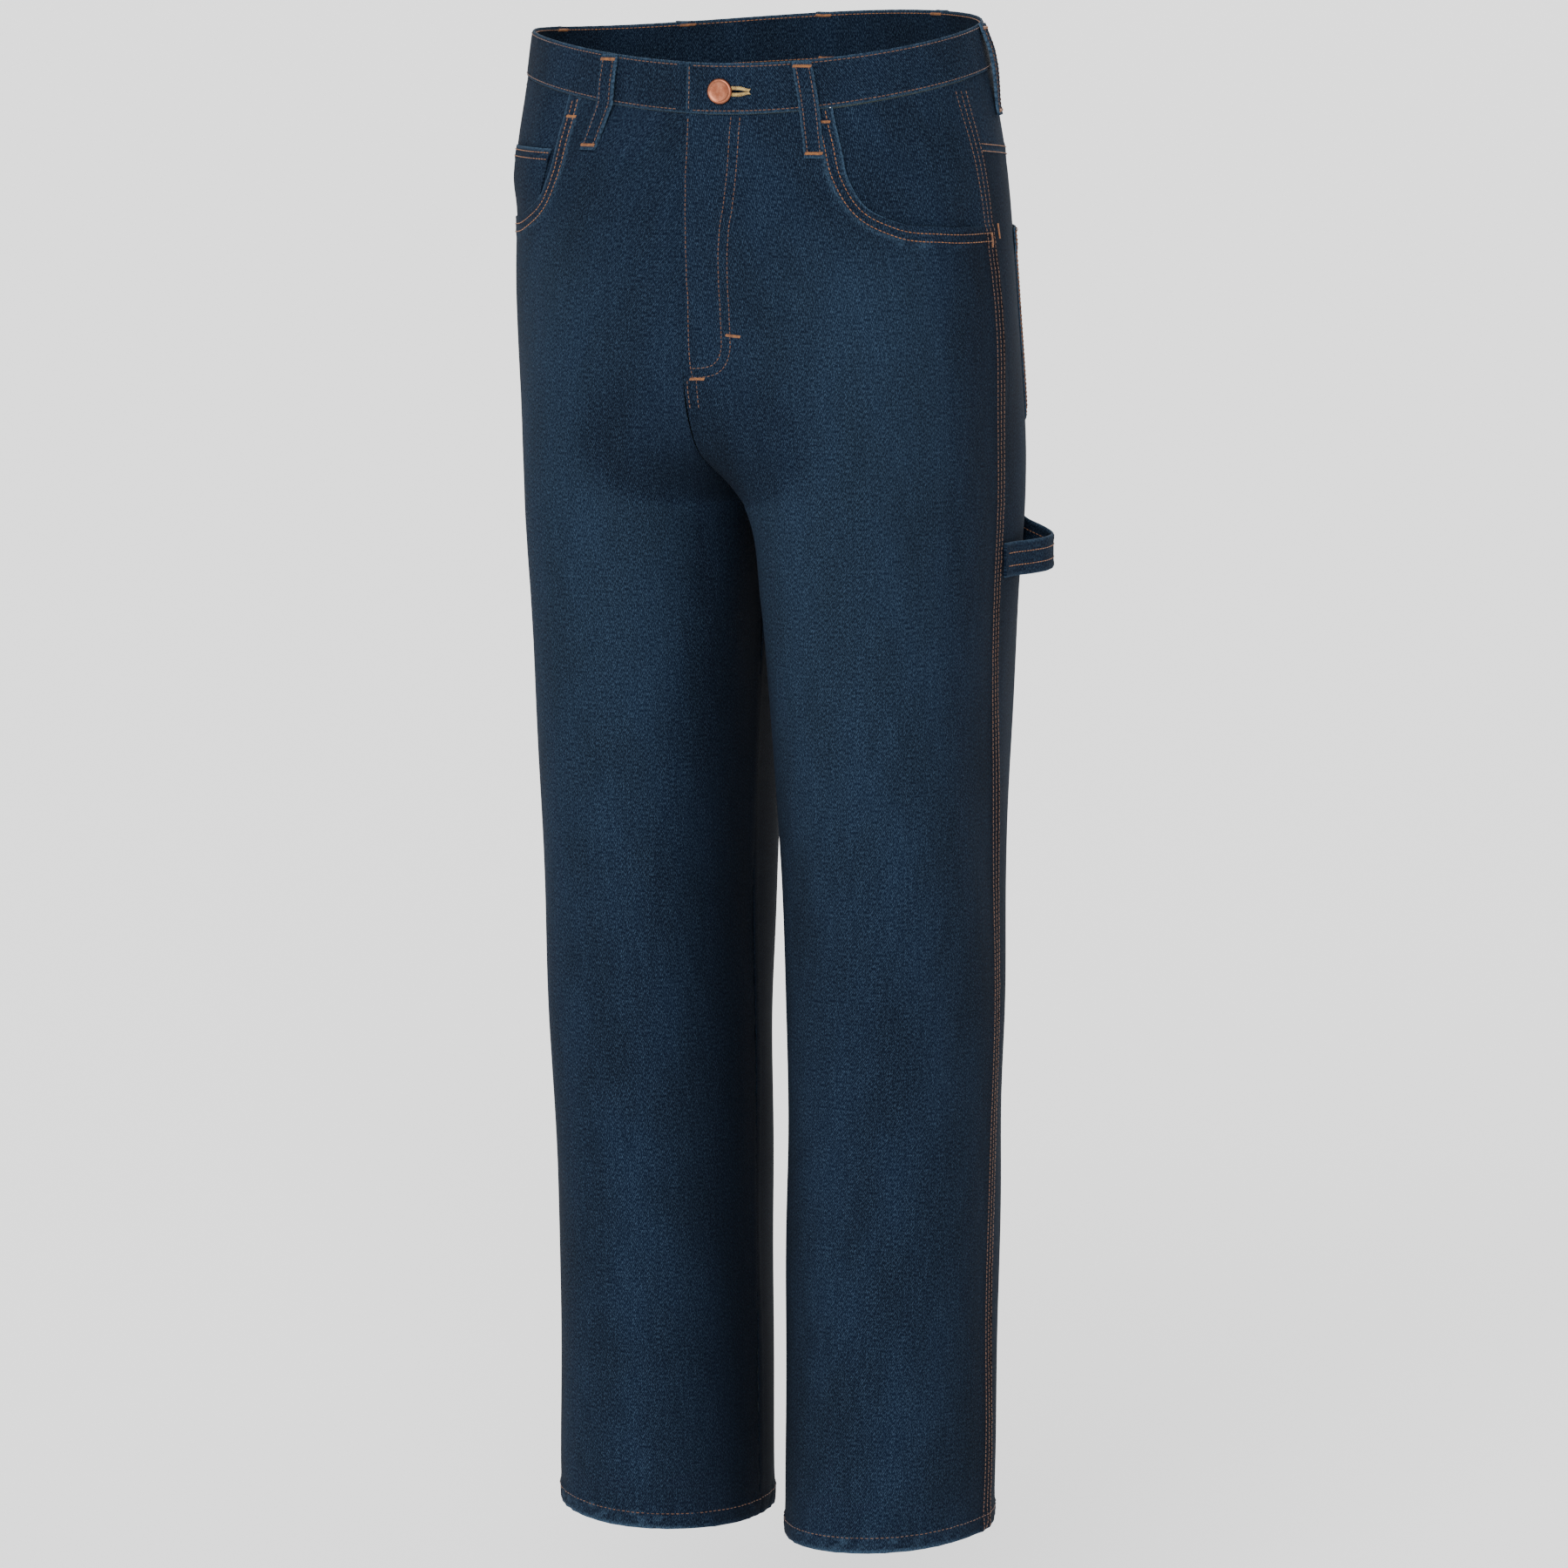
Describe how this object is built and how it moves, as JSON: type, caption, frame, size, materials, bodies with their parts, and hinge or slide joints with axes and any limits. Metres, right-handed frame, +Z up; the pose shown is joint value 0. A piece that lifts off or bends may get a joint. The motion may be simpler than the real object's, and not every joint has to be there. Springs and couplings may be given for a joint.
{
  "type": "carpenter pants, filled out with no wearer",
  "caption": "Straight-leg denim carpenter pants in worn form, with an open waist and hems, scooped front pockets, belt loops, a tool pocket and a hammer loop.",
  "frame": {"origin": "centre of the waist opening, at the mean height of the middle of the waistband", "axes": "+X to the wearer's left, -Y the wearer's front, +Z up along the body"},
  "size_m": [0.3562, 0.2947, 1.0774],
  "materials": {
    "denim": "matte",
    "button_metal": "satin"
  },
  "bodies": {
    "root": {"front_panel_left": "denim", "front_panel_right": "denim", "back_panel_left": "denim", "back_panel_right": "denim", "yoke_left": "denim", "yoke_right": "denim", "pocket_facing_left": "denim", "pocket_facing_right": "denim", "watch_pocket": "denim", "back_pocket_left": "denim", "back_pocket_right": "denim", "tool_pocket": "denim", "waistband": "denim", "belt_loop_1": "denim", "belt_loop_2": "denim", "belt_loop_3": "denim", "belt_loop_4": "denim", "belt_loop_5": "denim", "belt_loop_6": "denim", "belt_loop_7": "denim", "hammer_loop": "denim", "button": "button_metal"}
  },
  "joints": []
}
